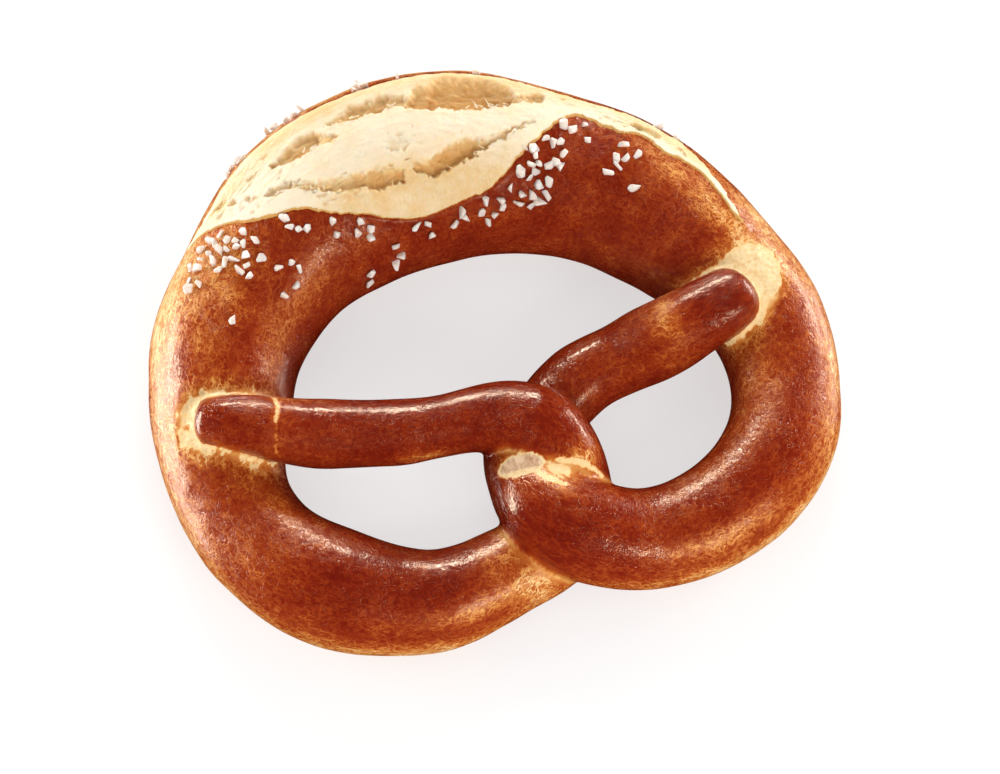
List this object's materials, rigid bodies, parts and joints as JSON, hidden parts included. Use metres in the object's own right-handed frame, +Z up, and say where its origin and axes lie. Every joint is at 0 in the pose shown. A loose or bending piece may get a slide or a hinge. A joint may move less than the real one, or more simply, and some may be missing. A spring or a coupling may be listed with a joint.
{
  "type": "soft pretzel",
  "caption": "Glossy brown soft pretzel with a torn pale slash along its fat belly, coarse salt beside it, and thin arms crossed in one twist.",
  "frame": {"origin": "middle of the pretzel's outline on the surface that it lies on", "axes": "+X along the width, towards the shoulder that the shorter arm's tip lies on, +Y from the twist towards the fat belly, +Z up"},
  "size_m": [0.1555, 0.1346, 0.0397],
  "materials": {
    "crust": "satin baked crust, glossy red-brown on top and golden on the flanks",
    "crumb": "matt, pale and finely torn",
    "salt": "white, slightly translucent grains"
  },
  "bodies": {
    "root": {"pretzel": "crust"}
  },
  "joints": []
}
